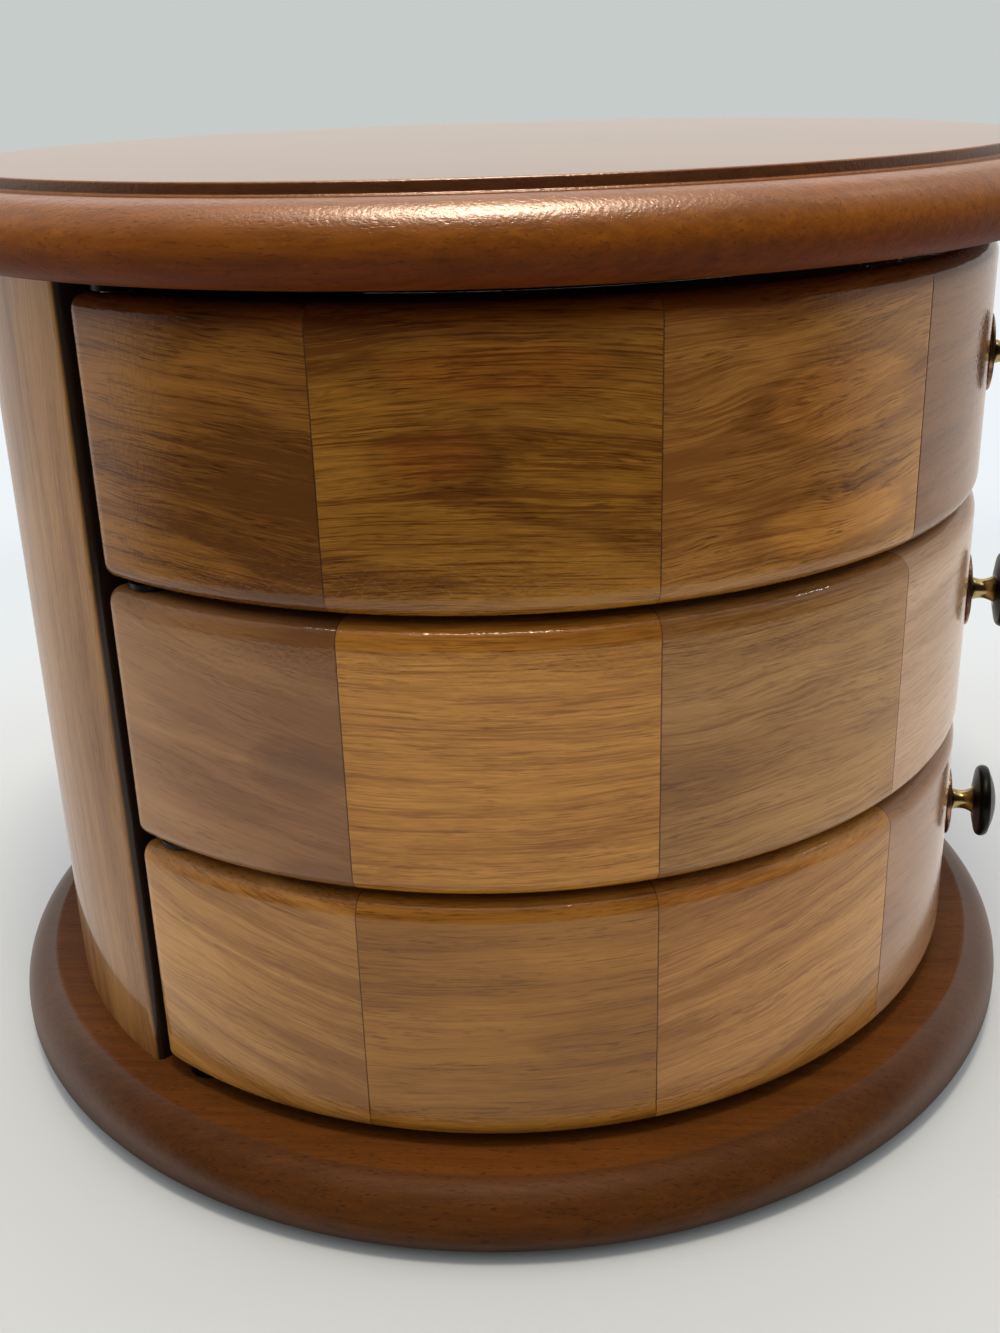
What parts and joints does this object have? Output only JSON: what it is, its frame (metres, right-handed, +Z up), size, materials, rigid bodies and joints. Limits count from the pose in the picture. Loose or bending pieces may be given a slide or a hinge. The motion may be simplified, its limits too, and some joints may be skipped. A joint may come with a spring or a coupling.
{
  "type": "jewelry box with swing-out drawers",
  "caption": "Round wooden jewelry box: drawers with curved patchwork fronts swing out on one hidden rod between a turned base and a turned top, each with a small dark metal knob.",
  "frame": {"origin": "middle of the underside, on the axis that the base, top and curved fronts are turned about", "axes": "+Z up, -Y towards the front, where the knobs are; +X to the right seen from the front"},
  "size_m": [0.2036, 0.2036, 0.1643],
  "materials": {
    "stained_mahogany": "glossy lacquer over reddish brown stain",
    "rear_stave_wood": "glossy lacquer, upright grain",
    "olive_walnut": "glossy lacquer",
    "olive_oak": "glossy lacquer",
    "figured_teak": "glossy lacquer, wavy figure",
    "red_walnut": "glossy lacquer",
    "light_tan": "glossy lacquer",
    "mid_brown": "glossy lacquer",
    "golden_oak": "glossy lacquer",
    "inner_wood": "plain sanded wood",
    "floor_ply": "plain thin panel",
    "lining_felt": "soft felt",
    "base_felt": "soft felt",
    "steel": "plain steel",
    "brass": "plain brass",
    "antique_brass": "dark antique brass, worn lighter on the stem",
    "dark_bronze": "dark antique brass"
  },
  "bodies": {
    "case": {"base_plate": "stained_mahogany", "base_felt": "base_felt", "base_screws": "steel", "rear_stave_1": "rear_stave_wood", "rear_stave_2": "rear_stave_wood", "rear_stave_3": "rear_stave_wood", "rear_partition": "inner_wood", "top_panel": "stained_mahogany", "top_dowels": "inner_wood", "pivot_rod": "steel", "pivot_washers": "brass", "drawer_bumpers": "lining_felt"},
    "top_drawer": {"top_front_block_1": "olive_walnut", "top_front_block_2": "olive_oak", "top_front_block_3": "figured_teak", "top_front_block_4": "red_walnut", "top_front_block_5": "light_tan", "top_front_block_6": "olive_walnut", "top_front_block_7": "golden_oak", "top_front_block_8": "mid_brown", "top_back_wall": "inner_wood", "top_floor_panel": "floor_ply", "top_felt_lining": "lining_felt", "top_hinge_bushes": "brass", "top_knob": "antique_brass", "top_knob_plate": "dark_bronze", "top_knob_screw": "steel", "top_divider": "inner_wood"},
    "middle_drawer": {"middle_front_block_1": "red_walnut", "middle_front_block_2": "light_tan", "middle_front_block_3": "mid_brown", "middle_front_block_4": "golden_oak", "middle_front_block_5": "olive_walnut", "middle_front_block_6": "light_tan", "middle_front_block_7": "mid_brown", "middle_front_block_8": "olive_oak", "middle_back_wall": "inner_wood", "middle_floor_panel": "floor_ply", "middle_felt_lining": "lining_felt", "middle_hinge_bushes": "brass", "middle_knob": "antique_brass", "middle_knob_plate": "dark_bronze", "middle_knob_screw": "steel", "middle_divider": "inner_wood"},
    "bottom_drawer": {"bottom_front_block_1": "golden_oak", "bottom_front_block_2": "mid_brown", "bottom_front_block_3": "light_tan", "bottom_front_block_4": "red_walnut", "bottom_front_block_5": "figured_teak", "bottom_front_block_6": "golden_oak", "bottom_front_block_7": "olive_walnut", "bottom_front_block_8": "light_tan", "bottom_back_wall": "inner_wood", "bottom_floor_panel": "floor_ply", "bottom_felt_lining": "lining_felt", "bottom_hinge_bushes": "brass", "bottom_knob": "antique_brass", "bottom_knob_plate": "dark_bronze", "bottom_knob_screw": "steel"}
  },
  "joints": [
    {"name": "top_drawer_swing", "type": "hinge", "parent": "case", "child": "top_drawer", "pos_m": [-0.07389, 0.03996, 0.1268], "axis": [0, 0, -1], "range_deg": [0, 105]},
    {"name": "middle_drawer_swing", "type": "hinge", "parent": "case", "child": "middle_drawer", "pos_m": [-0.07389, 0.03996, 0.0819], "axis": [0, 0, -1], "range_deg": [0, 105]},
    {"name": "bottom_drawer_swing", "type": "hinge", "parent": "case", "child": "bottom_drawer", "pos_m": [-0.07389, 0.03996, 0.037], "axis": [0, 0, -1], "range_deg": [0, 105]}
  ]
}
